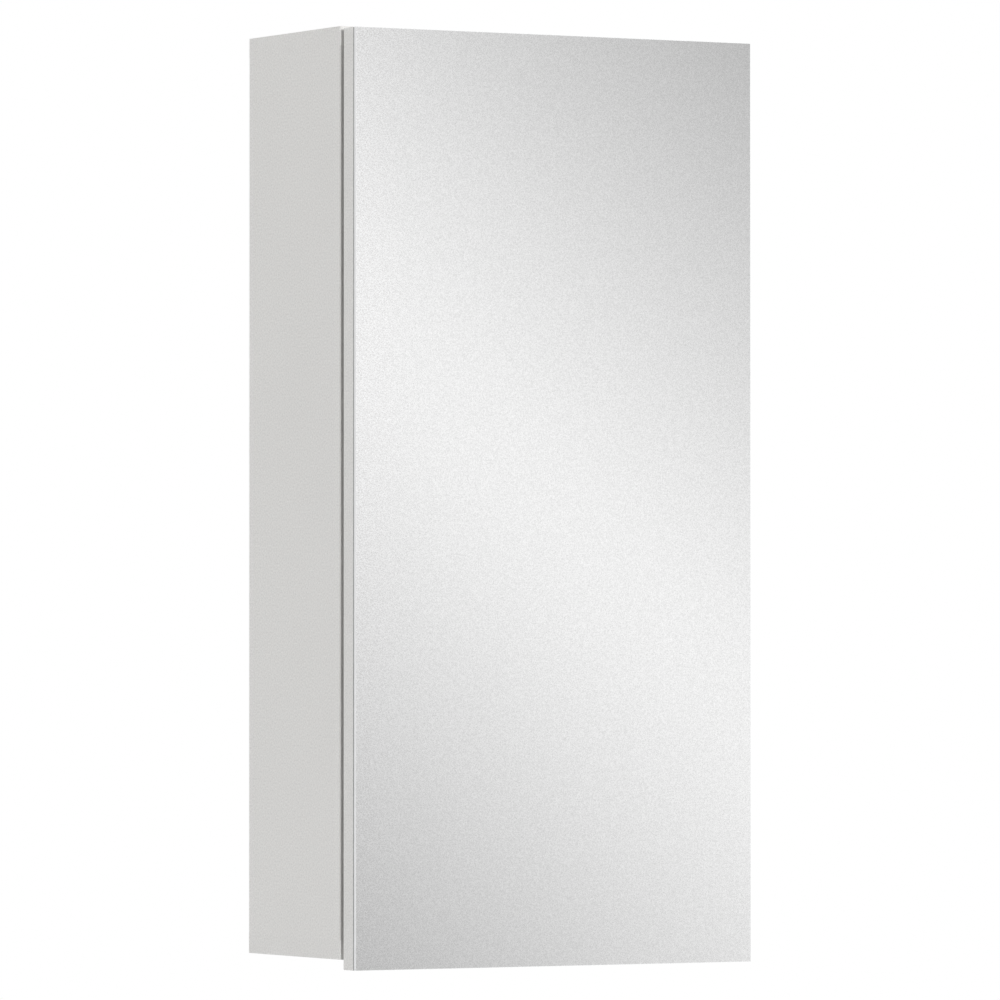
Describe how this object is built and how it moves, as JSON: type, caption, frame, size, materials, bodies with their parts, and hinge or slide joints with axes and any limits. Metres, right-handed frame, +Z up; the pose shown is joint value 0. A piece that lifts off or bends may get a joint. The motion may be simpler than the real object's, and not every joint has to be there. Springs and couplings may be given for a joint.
{
  "type": "wall-hung mirror cabinet",
  "caption": "Slim wall-hung bathroom cabinet with a hinged full-front mirror door, glass shelves inside and hook-on wall fixing.",
  "frame": {"origin": "midway between the two wall screws' slots, on the wall's plane", "axes": "+Z up, +Y into the wall (the mirror faces -Y), +X to the right of someone who faces the mirror"},
  "size_m": [0.35, 0.1736, 0.7175],
  "materials": {
    "white_board": "white melamine-faced board, satin",
    "white_edging": "white ABS edging, satin",
    "back_board": "white lacquered hardboard",
    "beech": "plain beech",
    "steel": "zinc-plated steel",
    "nickel": "nickel-plated, satin",
    "white_plastic": "moulded, satin",
    "clear_plastic": "clear soft plastic",
    "clear_glass": "clear float glass, polished edges",
    "magnet": "dark ferrite",
    "tape": "dark foam tape",
    "mirror": "silvered float glass"
  },
  "bodies": {
    "carcass": {"left_side_panel": "white_board", "right_side_panel": "white_board", "top_panel": "white_board", "bottom_panel": "white_board", "side_edging": "white_edging", "top_edging": "white_edging", "bottom_edging": "white_edging", "back_panel": "back_board", "wood_dowels": "beech", "cam_bolts": "steel", "hanger_hook_left": "steel", "hanger_hook_right": "steel", "wall_plate_left": "steel", "wall_plate_right": "steel", "hinge_plate_screws": "steel", "hinge_adjusting_screws": "steel", "catch_poles": "steel", "catch_screws": "steel", "cam_locks": "nickel", "hanger_adjusting_screws": "nickel", "shelf_pins_lower": "nickel", "shelf_pins_middle": "nickel", "shelf_pins_upper": "nickel", "hinge_plate_upper": "nickel", "hinge_plate_lower": "nickel", "hinge_arm_upper": "nickel", "hinge_arm_lower": "nickel", "cam_covers": "white_plastic", "hanger_housing_left": "white_plastic", "hanger_housing_right": "white_plastic", "hanger_covers": "white_plastic", "catch_housing": "white_plastic", "shelf_pads": "clear_plastic", "glass_shelf_lower": "clear_glass", "glass_shelf_middle": "clear_glass", "glass_shelf_upper": "clear_glass", "catch_magnet": "magnet"},
    "door": {"door_panel": "white_board", "door_edging": "white_edging", "hinge_cup_upper": "steel", "hinge_cup_lower": "steel", "hinge_pin_upper": "steel", "hinge_pin_lower": "steel", "hinge_cup_screws": "steel", "strike_plate": "steel", "strike_screw": "steel", "door_bumpers": "clear_plastic", "mirror_tape": "tape", "mirror_glass": "mirror"}
  },
  "joints": [
    {"name": "door_swing", "type": "hinge", "parent": "carcass", "child": "door", "pos_m": [0.1658, -0.1622, -0.32], "axis": [0, 0, 1], "range_deg": [0, 95]}
  ]
}
